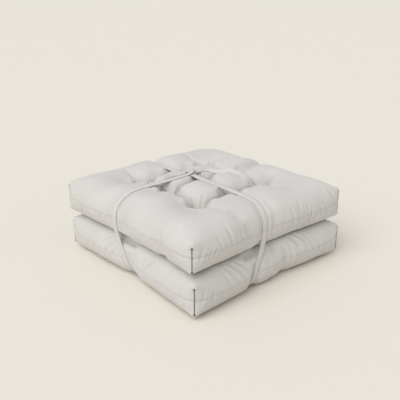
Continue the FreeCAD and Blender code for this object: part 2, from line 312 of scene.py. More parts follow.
def lattice(cells, rows):
    """Vertices, faces and cloth coordinates of a closed box whose sides share their edges."""
    numbers = {}
    points = []

    def corner(i, j, k):
        if (i, j, k) not in numbers:
            numbers[i, j, k] = len(points)
            points.append(((2 * i / cells - 1) * HALF_SIDE, (2 * j / cells - 1) * HALF_SIDE,
                           (2 * k / rows - 1) * HALF_RISE))
        return numbers[i, j, k]

    faces = []
    cloth = []

    def add(keys, flatten):
        face = [corner(*key) for key in keys]
        faces.append(face)
        cloth.extend(flatten(*points[number]) for number in face)

    edge = HALF_SIDE + HALF_RISE
    for i in range(cells):
        for j in range(cells):
            add([(i, j, rows), (i + 1, j, rows), (i + 1, j + 1, rows), (i, j + 1, rows)],
                lambda x, y, z: (x, y))
            add([(i, j, 0), (i, j + 1, 0), (i + 1, j + 1, 0), (i + 1, j, 0)],
                lambda x, y, z: (x, y))
        walls = (((i, 0), (i + 1, 0), lambda x, y, z: (x, z - edge)),
                 ((i + 1, cells), (i, cells), lambda x, y, z: (x, edge - z)),
                 ((0, i + 1), (0, i), lambda x, y, z: (z - edge, y)),
                 ((cells, i), (cells, i + 1), lambda x, y, z: (edge - z, y)))
        for k in range(rows):
            for near, far, flatten in walls:
                add([(*near, k), (*far, k), (*far, k + 1), (*near, k + 1)], flatten)
    return np.array(points), faces, np.array(cloth)


def on_face(rest, face):
    """Which points were sewn into the top (1) or the bottom (-1) of the box."""
    return np.abs(rest[:, 2] - face * HALF_RISE) < TOUCH


def on_sides(rest):
    return np.abs(rest[:, :2]).max(axis=1) > HALF_SIDE - TOUCH


def at_corner(rest, side_x, side_y):
    """Which points lie on one upright edge of the box."""
    off_edge = np.abs(rest[:, :2] - np.array([side_x, side_y]) * HALF_SIDE)
    return (off_edge < TOUCH).all(axis=1)


def sew_pad(pad, seed):
    """The flat-cut canvas in its box shape, with its tufts drawn in, ready to be filled."""
    points, faces, cloth = lattice(CELLS, ROWS)
    mesh = bpy.data.meshes.new(pad + "_pad_canvas")
    mesh.from_pydata(points.tolist(), [], faces)
    layer = mesh.uv_layers.new(name="cloth")
    layer.data.foreach_set("uv", cloth.ravel())
    rest = mesh.attributes.new("rest", "FLOAT_VECTOR", "POINT")
    rest.data.foreach_set("vector", points.ravel())
    canvas = add_object(pad + "_pad_canvas", mesh)

    is_face = on_face(points, 1) | on_face(points, -1)
    is_corner = np.any([at_corner(points, *sides) for sides in CORNERS.values()], axis=0)
    pinned = is_corner.copy()
    start = points.copy()
    side = np.sign(points[:, 2])
    for x, y in TUFTS:
        reach = np.hypot(points[:, 0] - x, points[:, 1] - y)
        drop = (HALF_RISE - TUFT_Z) * (1 - smooth_step(reach / PIT_REACH))
        start[:, 2] -= np.where(is_face, side * drop, 0)
        pinned |= is_face & (reach < TUFT_PATCH)
    start[is_corner, :2] *= 1 - CORNER_TUCK / HALF_SIDE
    chance = np.random.default_rng(seed)
    start += (chance.random(start.shape) - 0.5) * UNEVENNESS * (~pinned)[:, None]
    mesh.vertices.foreach_set("co", start.ravel())

    middle_part = 1 - smooth_step((np.abs(points[:, :2]).max(axis=1) - FULL_HALF) / FULL_FADE)
    fullness = np.where(is_face, middle_part, 0)
    pins = canvas.vertex_groups.new(name="pins")
    pins.add([int(i) for i in np.flatnonzero(pinned)], 1.0, "REPLACE")
    slack = canvas.vertex_groups.new(name="slack")
    for number, amount in enumerate(fullness):
        if amount > LEAST_FULLNESS:
            slack.add([number], float(amount), "REPLACE")
    return canvas


CLOTH = {"quality": 5, "mass": 0.02, "tension_stiffness": 12, "compression_stiffness": 12,
         "shear_stiffness": 5, "bending_stiffness": 1.2, "tension_damping": 5, "compression_damping": 5,
         "shear_damping": 5, "air_damping": 1, "use_pressure": True, "uniform_pressure_force": 20}
EDGE_SLACK = -0.035  # shrinkage at the pad's sides; below 0 it is spare cloth
MIDDLE_SLACK = -0.095  # the same between the tufts


def keep_result(canvas, depsgraph):
    """Make what the modifiers give the canvas's own mesh."""
    old = canvas.data
    result = bpy.data.meshes.new_from_object(canvas.evaluated_get(depsgraph))
    canvas.modifiers.clear()
    canvas.data = result
    bpy.data.meshes.remove(old)


def fill(canvases):
    """Inflate the sewn canvases together, and leave the result in their meshes."""
    for canvas in canvases:
        modifier = canvas.modifiers.new("filling", "CLOTH")
        settings = modifier.settings
        for key, value in CLOTH.items():
            setattr(settings, key, value)
        settings.vertex_group_mass = "pins"
        settings.vertex_group_shrink = "slack"
        settings.shrink_min = EDGE_SLACK
        settings.shrink_max = MIDDLE_SLACK
        settings.effector_weights.gravity = 0
        modifier.collision_settings.use_collision = False
        modifier.point_cache.frame_start = 1
        modifier.point_cache.frame_end = FRAMES
    scene.frame_start = 1
    scene.frame_end = FRAMES
    for frame_number in range(1, FRAMES + 1):
        scene.frame_set(frame_number)
    depsgraph = bpy.context.evaluated_depsgraph_get()
    for canvas in canvases:
        keep_result(canvas, depsgraph)
        canvas.vertex_groups.clear()
    scene.frame_set(1)


def read_vectors(collection, key):
    """The vectors that a mesh keeps for its points, one to a row."""
    values = np.empty(len(collection) * 3)
    collection.foreach_get(key, values)
    return values.reshape(-1, 3)


def read_points(mesh):
    return read_vectors(mesh.vertices, "co")


def read_rest(mesh):
    """Where each point of the canvas lay in the flat-sided box it was sewn as."""
    return read_vectors(mesh.attributes["rest"].data, "vector")


def read_normals(mesh):
    return read_vectors(mesh.vertex_normals, "vector")


def write_points(mesh, points):
    mesh.vertices.foreach_set("co", np.ascontiguousarray(points).ravel())
    mesh.update()


def refine(canvas):
    """One subdivision, applied."""
    modifier = canvas.modifiers.new("refine", "SUBSURF")
    modifier.levels = 1
    modifier.render_levels = 1
    modifier.boundary_smooth = "PRESERVE_CORNERS"
    keep_result(canvas, bpy.context.evaluated_depsgraph_get())
    shade_smooth(canvas.data)


EASING = 12  # smoothing passes
EASED_FROM_CORNER = 0.03
EASED_FROM_TUFT = 0.022
EASED_FADE = 0.025


def ease(mesh):
    """Smooth out the simulation's dents, but not the tufts or the corners."""
    points, rest = read_points(mesh), read_rest(mesh)
    ends = np.empty(len(mesh.edges) * 2, dtype=np.int32)
    mesh.edges.foreach_get("vertices", ends)
    first, second = ends.reshape(-1, 2).T
    neighbours = np.bincount(ends, minlength=len(points))
    from_tuft = np.min([np.hypot(rest[:, 0] - x, rest[:, 1] - y) for x, y in TUFTS], axis=0)
    from_corner = np.hypot(*(HALF_SIDE - np.abs(rest[:, :2])).T)
    share = 0.5 * smooth_step(from_corner / EASED_FROM_CORNER)
    share = share * np.where(on_sides(rest), 1.0, smooth_step((from_tuft - EASED_FROM_TUFT) / EASED_FADE))
    for _ in range(EASING):
        total = np.column_stack([np.bincount(first, points[second, i], len(points))
                                 + np.bincount(second, points[first, i], len(points)) for i in range(3)])
        points = points + (total / neighbours[:, None] - points) * share[:, None]
    write_points(mesh, points)


def soft_floor(value, floor, softness):
    """Value, pressed up smoothly where it would pass below the floor."""
    return floor + softness * np.logaddexp(0, (value - floor) / softness)


OFFSET = {"lower": (0.0, 0.0), "upper": (-0.003, 0.004)}  # how far the pads lie out of line
BEARING_GAP = 0.0003  # between the canvas and what it bears on
CONTACT_SOFTNESS = 0.003
TOP_BLEND = 0.03  # height over which the top sets in
CROWN = 0.022  # how far the free pad's middle rises above its corners
CROWN_REACH = 0.135
PIT_LIP = 0.009  # how far the filling swells the canvas round each tuft
LIP_REACH = 0.031  # from a tuft to the top of its lip
LIP_WIDTH = 0.014
CORNER_DROOP = {"front_left": 0.006, "back_right": 0.012}
DROOP_START = 0.36  # x and y, added
DROOP_FADE = 0.14
GROOVE_TO_EDGE = {-1: 0.35, 1: 1.0}  # grooves on to the front and left edges, and to the back and right
GROOVE_FADE = 0.125
VALLEY_WIDTH = 0.015
VALLEY_DEPTH = 0.009


def groove_share(along):
    """How strongly a groove runs: fully between the tufts, and fading on to the pad's edges."""
    travel = np.abs(along)
    beyond = np.where(along > 0, GROOVE_TO_EDGE[1], GROOVE_TO_EDGE[-1])
    fade = 1 - smooth_step((travel - TUFT_PITCH) / GROOVE_FADE)
    return np.where(travel < TUFT_PITCH, 1.0, beyond * fade)


def valleys(x, y):
    """1 along the lines from tuft to tuft, and 0 on the pillows between them."""
    deepest = np.zeros(len(x))
    for line in TUFT_LINES:
        for across, along in ((x, y), (y, x)):
            deepest = np.maximum(deepest, groove_share(along) * bell((across - line) / VALLEY_WIDTH))
    return deepest


def settle(points, pad):
    """Stand a filled pad in the stack: flat where it bears, crowned where it is free."""
    x, y, z = points.T
    down = PANEL_LOW[pad][2] - SEAM_Z[pad]
    z = soft_floor(z, down + BEARING_GAP, CONTACT_SOFTNESS)
    if pad == "lower":
        up = PANEL_HIGH[pad][2] - SEAM_Z[pad]
        z = -soft_floor(-z, -up + BEARING_GAP, CONTACT_SOFTNESS)
    else:
        top = smooth_step(z / TOP_BLEND)
        z = z + CROWN * bell(np.hypot(x, y) / CROWN_REACH) * top
        valley = valleys(x, y)
        z = z - VALLEY_DEPTH * valley * top
        for tuft_x, tuft_y in TUFTS:
            reach = np.hypot(x - tuft_x, y - tuft_y)
            z = z + PIT_LIP * bell((reach - LIP_REACH) / LIP_WIDTH) * (1 - valley) * top
        for corner, droop in CORNER_DROOP.items():
            side_x, side_y = CORNERS[corner]
            nearness = smooth_step((side_x * x + side_y * y - DROOP_START) / DROOP_FADE)
            z = z - droop * nearness * top
    return np.column_stack([x + OFFSET[pad][0], y + OFFSET[pad][1], z + SEAM_Z[pad]])


# ---- creases ----

SIDE_AXES = {"front": (1, -1), "back": (1, 1), "left": (0, -1), "right": (0, 1)}
BORDER = 0.12  # of the faces, folded out with a side
TAPER_IN = 0.3  # share of a crease's length
TAPER_OUT = 0.45
TUFT_FOLD_START = 0.005  # from the tuft

# Chance sizes of the small folds: the least, and how much chance adds to it.
TUFT_FOLD_LENGTH = (0.020, 0.030)
TUFT_FOLD_DEPTH = (0.0018, 0.0020)
TUFT_FOLD_WIDTH = (0.0024, 0.0012)
WRINKLE_LOW = (0.002, 0.026)
WRINKLE_RISE = (0.026, 0.040)
WRINKLE_DEPTH = (0.0005, 0.0013)
WRINKLE_WIDTH = (0.0026, 0.0018)
WRINKLE_MARGIN = 0.012  # kept free at a side's ends
WRINKLE_LEAN = 0.022  # spread of their lean
WRINKLE_SPLAY = 0.006  # of the foot towards the corner
CREASE_SEED = 31
WRINKLES = 120  # on a pad

GROOVE_DEPTH = 0.0085
GROOVE_PIT_DEPTH = 0.0060  # added at the tufts
GROOVE_PIT_REACH = 0.034
GROOVE_WIDTH = 0.0044

SEAM_DEPTH = 0.0003
SEAM_CORNER_DEPTH = 0.0014  # added at the corners
SEAM_CORNER_REACH = 0.055
SEAM_WIDTH = 0.0022
PUCKER_PITCH = 0.0135
PUCKER_DEPTH = 0.00015
PUCKER_HEIGHT = 0.008


def vary(chance, size):
    least, spread = size
    return least + spread * chance.random()


def unfold(rest, side):
    """Flat places (along the side, up) of a side with the faces' borders folded out above and below."""
    axis, sign = SIDE_AXES[side]
    inward = HALF_SIDE - sign * rest[:, axis]
    up = rest[:, 2] + np.sign(rest[:, 2]) * inward
    here = (inward < TOUCH) | (on_face(rest, 1) | on_face(rest, -1)) & (inward < BORDER)
    return np.column_stack([np.where(here, rest[:, 1 - axis], FAR), up])


def crease(flat, depth, start, end, width, lip=0.3):
    """Depth of a crease along a line between two flat places."""
    start, end = np.asarray(start), np.asarray(end)
    run = end - start
    length = np.linalg.norm(run)
    run = run / length
    near = np.flatnonzero((np.abs(flat - (start + end) / 2) < length / 2 + 4 * width).all(axis=1))
    offset = flat[near] - start
    along = offset @ run
    beside = np.abs(offset[:, 0] * run[1] - offset[:, 1] * run[0]) / width
    taper = smooth_step(along / (TAPER_IN * length)) * smooth_step((length - along) / (TAPER_OUT * length))
    fold = bell(beside) - lip * bell(beside - 2)
    result = np.zeros(len(flat))
    result[near] = depth * taper * fold
    return result


def tuft_creases(rest, chance, face):
    """Short folds that radiate from each tuft of one face."""
    total = np.zeros(len(rest))
    flat = np.where(on_face(rest, face)[:, None], rest[:, :2], FAR)
    for tuft in np.array(TUFTS):
        count = int(chance.integers(6, 9))
        first = chance.random() * math.tau
        for number in range(count):
            angle = first + (number + 0.5 * (chance.random() - 0.5)) * math.tau / count
            turn = np.array([math.cos(angle), math.sin(angle)])
            length = vary(chance, TUFT_FOLD_LENGTH)
            total += crease(flat, vary(chance, TUFT_FOLD_DEPTH), tuft + turn * TUFT_FOLD_START,
                            tuft + turn * (TUFT_FOLD_START + length), vary(chance, TUFT_FOLD_WIDTH))
    return total


def groove_lines(rest, face):
    """Folds that run from tuft to tuft and on to the pad's edges."""
    total = np.zeros(len(rest))
    here = on_face(rest, face)
    for line in TUFT_LINES:
        for across, along in ((0, 1), (1, 0)):
            beside = np.abs(rest[:, across] - line)
            travel = np.abs(rest[:, along])
            to_tuft = np.abs((travel + TUFT_PITCH / 2) % TUFT_PITCH - TUFT_PITCH / 2)
            depth = GROOVE_DEPTH + GROOVE_PIT_DEPTH * bell(to_tuft / GROOVE_PIT_REACH)
            depth = depth * groove_share(rest[:, along])
            total += np.where(here, depth * bell(beside / GROOVE_WIDTH), 0)
    return total


def side_wrinkles(strips, chance):
    """Long soft upright wrinkles on a pad's sides, leaning outwards at the foot."""
    total = np.zeros(len(strips["front"]))
    for number in range(WRINKLES):
        place = (chance.random() - 0.5) * 2 * (HALF_SIDE - WRINKLE_MARGIN)
        low = -HALF_RISE + vary(chance, WRINKLE_LOW)
        rise = vary(chance, WRINKLE_RISE)
        lean = (chance.random() - 0.5) * WRINKLE_LEAN - np.sign(place) * WRINKLE_SPLAY
        total += crease(strips[SIDES[number % 4]], vary(chance, WRINKLE_DEPTH), (place, low),
                        (place + lean, low + rise), vary(chance, WRINKLE_WIDTH))
    return total


def seam_groove(rest):
    """The perimeter seam: a shallow groove at mid-height, sharpest near the corners, with puckers."""
    to_corner = HALF_SIDE - np.abs(rest[:, :2]).min(axis=1)
    depth = SEAM_DEPTH + SEAM_CORNER_DEPTH * bell(to_corner / SEAM_CORNER_REACH)
    travel = rest[:, 0] + rest[:, 1]
    pucker = np.sin(travel * math.tau / PUCKER_PITCH) * bell(rest[:, 2] / PUCKER_HEIGHT)
    groove = depth * bell(rest[:, 2] / SEAM_WIDTH) + PUCKER_DEPTH * pucker
    return np.where(on_sides(rest), groove, 0)


# Folds pressed in by the load, for each pad and side: place along the side and height above the seam at
# the start, the same at the end, depth and width. Heights past HALF_RISE lie on a face.
PRESSED_FOLDS = {
    ("lower", "front"): [
        (-0.094, 0.05, -0.03, 0.048, 0.01, 0.009), (0.07, 0.06, 0.112, 0, 0.005, 0.004),
        (0.092, 0.058, 0.142, 0.004, 0.0044, 0.0038), (0.118, 0.056, 0.158, -0.018, 0.0034, 0.0036),
        (0.04, 0.05, 0.058, -0.012, 0.002, 0.0036), (-0.142, 0.06, -0.092, 0, 0.0048, 0.004),
        (-0.156, 0.056, -0.116, -0.008, 0.0036, 0.0036),
        (-0.168, 0.052, -0.138, -0.016, 0.0026, 0.0034), (-0.12, 0.056, -0.078, 0.01, 0.0034, 0.0034),
    ],
    ("lower", "left"): [
        (-0.026, 0.05, 0.056, 0.048, 0.01, 0.0095), (-0.112, 0.058, -0.082, -0.002, 0.0046, 0.0038),
        (-0.084, 0.052, -0.062, -0.014, 0.0026, 0.0034), (-0.058, 0.05, -0.044, -0.016, 0.002, 0.0034),
        (0.052, 0.058, 0.104, 0.012, 0.0046, 0.0038), (0.046, 0.05, 0.088, -0.008, 0.0034, 0.0036),
        (0.04, 0.04, 0.064, -0.02, 0.0024, 0.0034),
    ],
    ("lower", "right"): [
        (-0.08, 0.058, -0.12, 0, 0.0044, 0.0038), (0.112, 0.056, 0.088, -0.006, 0.004, 0.0038),
        (-0.056, 0.05, -0.07, -0.014, 0.0024, 0.0034),
    ],
    ("lower", "back"): [
        (0.07, 0.058, 0.11, 0, 0.0044, 0.0038), (-0.11, 0.056, -0.078, 0, 0.004, 0.0038),
        (0.05, 0.05, 0.066, -0.014, 0.0024, 0.0034),
    ],
    ("upper", "front"): [
        (-0.094, -0.05, -0.03, -0.048, 0.01, 0.009), (0.104, -0.054, 0.134, -0.008, 0.0042, 0.0034),
        (0.126, -0.04, 0.138, 0.03, 0.0022, 0.0036), (-0.136, -0.008, -0.15, 0.056, 0.003, 0.0042),
        (-0.168, -0.004, -0.182, 0.044, 0.002, 0.0036), (-0.196, -0.012, -0.184, 0.01, 0.003, 0.003),
        (0.204, 0.052, 0.236, -0.014, 0.0038, 0.0044), (-0.104, -0.01, -0.112, 0.04, 0.0016, 0.0036),
    ],
    ("upper", "left"): [
        (-0.026, -0.05, 0.056, -0.048, 0.01, 0.0095), (-0.154, -0.01, -0.14, 0.046, 0.0022, 0.0036),
        (-0.128, 0, -0.108, 0.046, 0.0018, 0.0036), (-0.09, -0.006, -0.074, 0.04, 0.0014, 0.0034),
    ],
    ("upper", "right"): [
        (-0.112, -0.05, -0.092, 0.016, 0.0034, 0.0038), (0.14, -0.046, 0.126, 0.03, 0.0028, 0.0038),
    ],
    ("upper", "back"): [
        (0.12, -0.05, 0.098, 0.02, 0.0034, 0.0038), (-0.13, -0.046, -0.118, 0.026, 0.0026, 0.0038),
    ],
}


def crumple(canvas, points, pad):
    """Work the canvas's creases into a settled pad."""
    chance = np.random.default_rng(CREASE_SEED)
    rest = read_rest(canvas.data)
    write_points(canvas.data, points)
    strips = {side: unfold(rest, side) for side in SIDES}
    depth = seam_groove(rest) + side_wrinkles(strips, chance)
    for face in (-1, 1):
        depth += tuft_creases(rest, chance, face) + groove_lines(rest, face)
    for side in SIDES:
        for x0, up0, x1, up1, amount, width in PRESSED_FOLDS[pad, side]:
            depth += crease(strips[side], amount, (x0, up0), (x1, up1), width)
    return points - read_normals(canvas.data) * depth[:, None]


# ---- the tie's loops: taut outlines of the stack ----

OUTLINE_SPREAD = 0.007  # how near its plane a point counts


def outline(points, across, along, line):
    """The taut outline of what lies near a plane: a convex loop of (along, z) points."""
    near = points[np.abs(points[:, across] - line) < OUTLINE_SPREAD]
    flat = sorted({(round(float(p[along]), 5), round(float(p[2]), 5)) for p in near})

    def chain(ordered):
        kept = []
        for point in ordered:
            while len(kept) > 1:
                ax, az = kept[-2]
                bx, bz = kept[-1]
                if (bx - ax) * (point[1] - az) - (bz - az) * (point[0] - ax) > 0:
                    break
                kept.pop()
            kept.append(point)
        return kept[:-1]

    return np.array(chain(flat) + chain(flat[::-1]))


def travelled(points):
    """Distance from the first point to each, along the line of points."""
    return np.concatenate([[0], np.cumsum(np.linalg.norm(np.diff(points, axis=0), axis=1))])


def evenly(loop, count):
    """A closed loop's points, respaced evenly."""
    closed = np.vstack([loop, loop[:1]])
    travel = travelled(closed)
    places = np.linspace(0, travel[-1], count, endpoint=False)
    return np.column_stack([np.interp(places, travel, column) for column in closed.T])


def rounded(loop, passes):
    """A closed loop's values, averaged with their neighbours' a number of times."""
    for _ in range(passes):
        loop = (np.roll(loop, 1, axis=0) + 2 * loop + np.roll(loop, -1, axis=0)) / 4
    return loop


def outward(loop):
    """Unit normals of an anticlockwise loop."""
    run = np.roll(loop, -1, axis=0) - np.roll(loop, 1, axis=0)
    normal = np.column_stack([run[:, 1], -run[:, 0]])
    return normal / np.linalg.norm(normal, axis=1)[:, None]


LOOP_POINTS = 360
HUB_Z = (PANEL_LOW["lower"][2] + PANEL_HIGH["upper"][2]) / 2

# How far each loop lies sideways at a few places round the stack: degrees round its middle, and metres.
# 0 is the back or right side, 90 the top, 180 the front or left side and 270 the underside.
WANDER = {
    "front_back": ((40, 0.000), (90, -0.020), (150, -0.020), (180, -0.035), (205, -0.060), (270, -0.020),
                   (330, 0.000)),
    "left_right": ((40, 0.000), (75, 0.035), (135, 0.035), (175, 0.045), (205, 0.000), (270, 0.015),
                   (330, 0.000)),
}
WANDER_POINTS = 600  # of the smooth curve through those places


def wander(name, along, height):
    """Sideways place of a loop at places round the stack, on a smooth closed curve."""
    degrees = np.degrees(np.arctan2(height - HUB_Z, -np.asarray(along)))
    turn = (180 - degrees) % 360
    stops = [(angle + lap, place) for lap in (-360, 0, 360) for angle, place in WANDER[name]]
    angles, places = spline(stops, WANDER_POINTS).T
    return np.interp(turn, angles, places)


TOP_CINCH = 0.004  # how far the tie draws the stack in on top
SIDE_CINCH = 0.005  # the same high on the sides
LOW_CINCH = 0.006  # the same low on the sides
LOW_FADE = 0.09
FAR_SINK = 0.016  # the back and right runs lie in the grooves between the tufts
FAR_START = 0.02
FAR_FADE = 0.06
SIDE_SHARPNESS = 1.3  # how sharply the sides take over
TOP_SHARPNESS = 1.5
FLOOR_SOFTNESS = 0.0008
OUTLINE_ROUNDING = 14  # smoothing passes
CINCH_ROUNDING = 6


def taut_loop(points, across, along, line, lift):
    """A loop of the tie: the stack's outline, rounded and drawn in, most of all on its far top run."""
    loop = rounded(evenly(outline(points, across, along, line), LOOP_POINTS), OUTLINE_ROUNDING)
    normal = outward(loop)
    upright = smooth_step(np.abs(normal[:, 0]) * SIDE_SHARPNESS)
    low = smooth_step((SEAM_Z["upper"] - loop[:, 1]) / LOW_FADE)
    far_top = smooth_step(normal[:, 1] * TOP_SHARPNESS) * smooth_step((loop[:, 0] - FAR_START) / FAR_FADE)
    draw = TOP_CINCH + upright * (SIDE_CINCH + (LOW_CINCH - SIDE_CINCH) * low - TOP_CINCH)
    draw = draw + FAR_SINK * far_top * (1 - upright)
    loop = loop - normal * draw[:, None]
    loop[:, 1] = soft_floor(loop[:, 1], lift, FLOOR_SOFTNESS)
    return evenly(rounded(loop, CINCH_ROUNDING), LOOP_POINTS)


DENT_REACH = 0.013
DENT_DEPTH = TIE_THICKNESS / 2 + 0.0004  # from the loop's middle down to the canvas


def press(points, name, loop, across, along):
    """Push the canvas in under a loop; the dent fades over a reach to either side."""
    away = np.abs(points[:, across] - wander(name, points[:, along], points[:, 2]))
    near = np.flatnonzero(away < 3 * DENT_REACH)
    flat = points[near][:, [along, 2]]
    normal = outward(loop)
    gaps = ((flat[:, None, :] - loop[None, ::2, :]) ** 2).sum(axis=2)
    nearest = gaps.argmin(axis=1) * 2
    proud = ((flat - loop[nearest]) * normal[nearest]).sum(axis=1) + DENT_DEPTH
    fade = bell(np.maximum(away[near] - TIE_WIDTH / 2, 0) / DENT_REACH)
    move = np.maximum(proud, 0) * fade
    points = points.copy()
    points[near, along] -= normal[nearest, 0] * move
    points[near, 2] -= normal[nearest, 1] * move
    return points


# ---- ribbons ----

def finish_mesh(shell, mesh):
    """Write a bmesh into a mesh, its faces turned outwards and shaded smoothly."""
    bmesh.ops.recalc_face_normals(shell, faces=shell.faces)
    shell.to_mesh(mesh)
    shell.free()
    shade_smooth(mesh)


# Half widths across a band and thicknesses up, from one edge over the top and back underneath.
BAND_PROFILE = [(-1.0, 0.0), (-0.94, 0.5), (-0.72, 0.36), (-0.6, 0.5), (0.0, 0.58), (0.6, 0.5), (0.72, 0.36),
                (0.94, 0.5), (1.0, 0.0), (0.94, -0.5), (0.5, -0.5), (0.0, -0.5), (-0.5, -0.5), (-0.94, -0.5)]


def ribbon(name, centres, normals, width, thickness, closed=False, twist=None):
    """A flat band along a line of points: soft edges, a stitched fold near both, even cloth map."""
    if closed:
        run = np.roll(centres, -1, axis=0) - np.roll(centres, 1, axis=0)
    else:
        run = np.gradient(centres, axis=0)
    run /= np.linalg.norm(run, axis=1)[:, None]
    normals = normals - run * (normals * run).sum(axis=1)[:, None]
    normals /= np.linalg.norm(normals, axis=1)[:, None]
    sideways = np.cross(run, normals)
    if twist is not None:
        turn = np.asarray(twist)[:, None]
        normals, sideways = (normals * np.cos(turn) + sideways * np.sin(turn),
                             sideways * np.cos(turn) - normals * np.sin(turn))
    halves = np.broadcast_to(np.asarray(width) / 2, len(centres))[:, None]
    half = float(halves.max())
    travel = travelled(centres)
    rings = [centres + sideways * (halves * across) + normals * (thickness * up)
             for across, up in BAND_PROFILE]
    points = np.stack(rings, axis=1).reshape(-1, 3)
    count, around = len(centres), len(BAND_PROFILE)
    mesh = bpy.data.meshes.new(name)
    faces = []
    cloth = []
    spans = count if closed else count - 1
    for i in range(spans):
        following = (i + 1) % count
        far = travel[i] + float(np.linalg.norm(centres[following] - centres[i]))
        for j in range(around):
            beside = (j + 1) % around
            faces.append((i * around + j, following * around + j, following * around + beside,
                          i * around + beside))
            left, right = BAND_PROFILE[j][0] * half, BAND_PROFILE[beside][0] * half
            cloth.extend([(left, travel[i]), (left, far), (right, far), (right, travel[i])])
    if not closed:
        for end, flip in ((0, False), (count - 1, True)):
            face = [end * around + j for j in range(around)]
            faces.append(tuple(reversed(face)) if flip else tuple(face))
            order = reversed(range(around)) if flip else range(around)
            cloth.extend((BAND_PROFILE[j][0] * half, travel[end] + BAND_PROFILE[j][1] * thickness)
                         for j in order)
    mesh.from_pydata(points.tolist(), [], faces)
    mesh.uv_layers.new(name="cloth").data.foreach_set("uv", np.array(cloth).ravel())
    shell = bmesh.new()
    shell.from_mesh(mesh)
    finish_mesh(shell, mesh)
    return add_object(name, mesh)


SPLINE_STEPS = 24  # between two given points


def spline(points, count):
    """A smooth curve through given points (uniform Catmull-Rom), respaced evenly."""
    points = np.asarray(points, dtype=float)
    padded = np.vstack([2 * points[0] - points[1], points, 2 * points[-1] - points[-2]])
    samples = []
    for a, b, c, d in zip(padded, padded[1:], padded[2:], padded[3:]):
        for step in np.linspace(0, 1, SPLINE_STEPS, endpoint=False):
            samples.append(0.5 * (2 * b + (c - a) * step + (2 * a - 5 * b + 4 * c - d) * step ** 2
                                  + (3 * b - a - 3 * c + d) * step ** 3))
    samples.append(points[-1])
    samples = np.array(samples)
    travel = travelled(samples)
    places = np.linspace(0, travel[-1], count)
    return np.column_stack([np.interp(places, travel, column) for column in samples.T])


# ---- building ----

add_camera()
add_studio()
CANVAS = canvas_material("grey_canvas", light_tone=(0.67, 0.655, 0.632), dark_tone=(0.625, 0.608, 0.588),
                         pitch=0.0011)
TIE_CLOTH = canvas_material("tie_canvas", light_tone=(0.70, 0.682, 0.66), dark_tone=(0.64, 0.62, 0.60),
                            pitch=0.0009, weave_strength=0.45)
# Each thread's shade tone is painted shade in the grooves between its plies.
SEAM_THREAD = thread_material("seam_thread", tone=(0.20, 0.17, 0.155), shade=(0.10, 0.085, 0.075))
CANVAS_THREAD = thread_material("canvas_thread", tone=(0.60, 0.58, 0.55), shade=(0.46, 0.44, 0.42))
TWINE = thread_material("tuft_twine", tone=(0.52, 0.49, 0.45), shade=(0.34, 0.31, 0.28))

SEWING_SEEDS = {"lower": 11, "upper": 12}
OUTLINE_SHIFT = -0.012  # the front to back loop is fitted round the stack this far to the left

canvases = {pad: sew_pad(pad, SEWING_SEEDS[pad]) for pad in PADS}
fill(list(canvases.values()))
stack = {}
for pad, canvas in canvases.items():
    ease(canvas.data)
    refine(canvas)
    stack[pad] = crumple(canvas, settle(read_points(canvas.data), pad), pad)

both = np.vstack(list(stack.values()))
LOOPS = {  # axis across each loop, axis along it and its outline
    "front_back": (0, 1, taut_loop(both, 0, 1, LOOP_X + OUTLINE_SHIFT, lift=0.0009)),
    "left_right": (1, 0, taut_loop(both, 1, 0, LOOP_Y, lift=0.0024)),
}
for pad in PADS:
    for name, (across, along, loop) in LOOPS.items():
        stack[pad] = press(stack[pad], name, loop, across, along)
    write_points(canvases[pad].data, stack[pad])

for pad, canvas in canvases.items():
    canvas.data.materials.append(CANVAS)
    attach(canvas, pad + "_pad")
    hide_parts(*[pad + "_pad_" + piece for piece in (
        "bottom_panel", "top_panel", "batting_lower", "batting_core", "batting_upper")])

SURFACE = BVHTree.FromPolygons([Vector(place) for place in stack["upper"]],
                               [tuple(face.vertices) for face in canvases["upper"].data.polygons])

ABOVE_STACK = 0.4


def top_height(x, y):
    """Height of the upper pad's top face at a place."""
    place, *_ = SURFACE.ray_cast(Vector((x, y, ABOVE_STACK)), Vector((0, 0, -1)))
    return place.z


# ---- sewing: perimeter stitches, corner seams and tufts ----

# Rings of a stitch: which end, how far on from it, and how wide, both as shares of its radius.
STITCH_RINGS = ((0, -1.0, 0.35), (0, -0.55, 0.85), (0, 0.2, 1.0), (1, -0.2, 1.0), (1, 0.55, 0.85),
                (1, 1.0, 0.35))


def capsule(mesh, start, end, radius, sides=7):
    """Add one stitch: a short rounded rod between two places."""
    start, end = Vector(start), Vector(end)
    run = (end - start).normalized()
    beside = run.orthogonal().normalized()
    other = run.cross(beside)
    rings = []
    for which, push, share in STITCH_RINGS:
        middle = (start, end)[which] + run * (push * radius)
        rings.append([mesh.verts.new(middle + (beside * math.cos(turn) + other * math.sin(turn))
                                     * (radius * share))
                      for turn in (math.tau * side / sides for side in range(sides))])
    for near, far in zip(rings, rings[1:]):
        for side in range(sides):
            after = (side + 1) % sides
            mesh.faces.new((near[side], near[after], far[after], far[side]))
    mesh.faces.new(rings[0][::-1])
    mesh.faces.new(rings[-1])


def sewn_piece(name, mesh, material, body, slot, *nodes):
    """Turn a bmesh of stitches into a piece that rides on a body."""
    data = bpy.data.meshes.new(name)
    finish_mesh(mesh, data)
    data.materials.append(material)
    piece = add_object(name, data)
    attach(piece, body)
    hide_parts(*nodes)


def at_rest_places(pad, chosen, key):
    """The settled places and normals of chosen points of a pad, in order of a key."""
    numbers = np.flatnonzero(chosen)
    numbers = numbers[np.argsort(key[numbers], kind="stable")]
    return stack[pad][numbers], read_normals(canvases[pad].data)[numbers]


